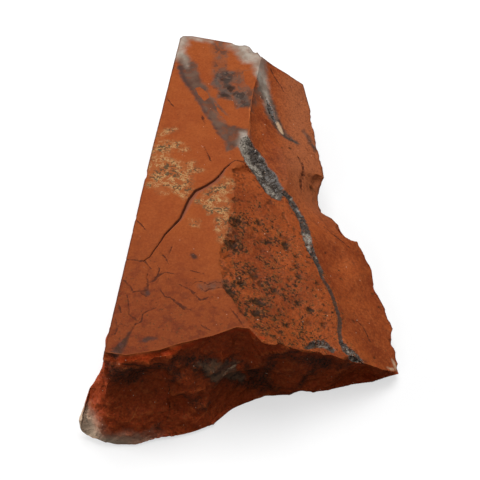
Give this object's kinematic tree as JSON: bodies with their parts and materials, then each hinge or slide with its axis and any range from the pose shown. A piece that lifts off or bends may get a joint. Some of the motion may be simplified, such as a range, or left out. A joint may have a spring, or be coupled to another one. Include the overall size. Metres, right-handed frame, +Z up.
{
  "type": "red jasper",
  "caption": "Broken lump of red jasper lying on its back, with a matte sawn face on top, a sloping broken side, a dark crystal-lined vein, an open fissure and milky chalcedony at its corners.",
  "frame": {"origin": "on the surface that the stone stands on, under the middle of the stone's box", "axes": "+Z up, square to the surface it stands on and along its smallest extent; +Y along its longest extent, from the broad broken end to the narrow sawn end; +X to the right, from the thick sawn side to the thin broken side"},
  "size_m": [0.0564, 0.0902, 0.0201],
  "materials": {
    "jasper": "matte brick-red jasper, duller and more orange on the sawn face and redder where it is broken, with a grey crystalline vein, purple-grey bands, ochre stains, dark pits and milky white chalcedony at two corners"
  },
  "bodies": {
    "root": {"red_jasper": "jasper"}
  },
  "joints": []
}
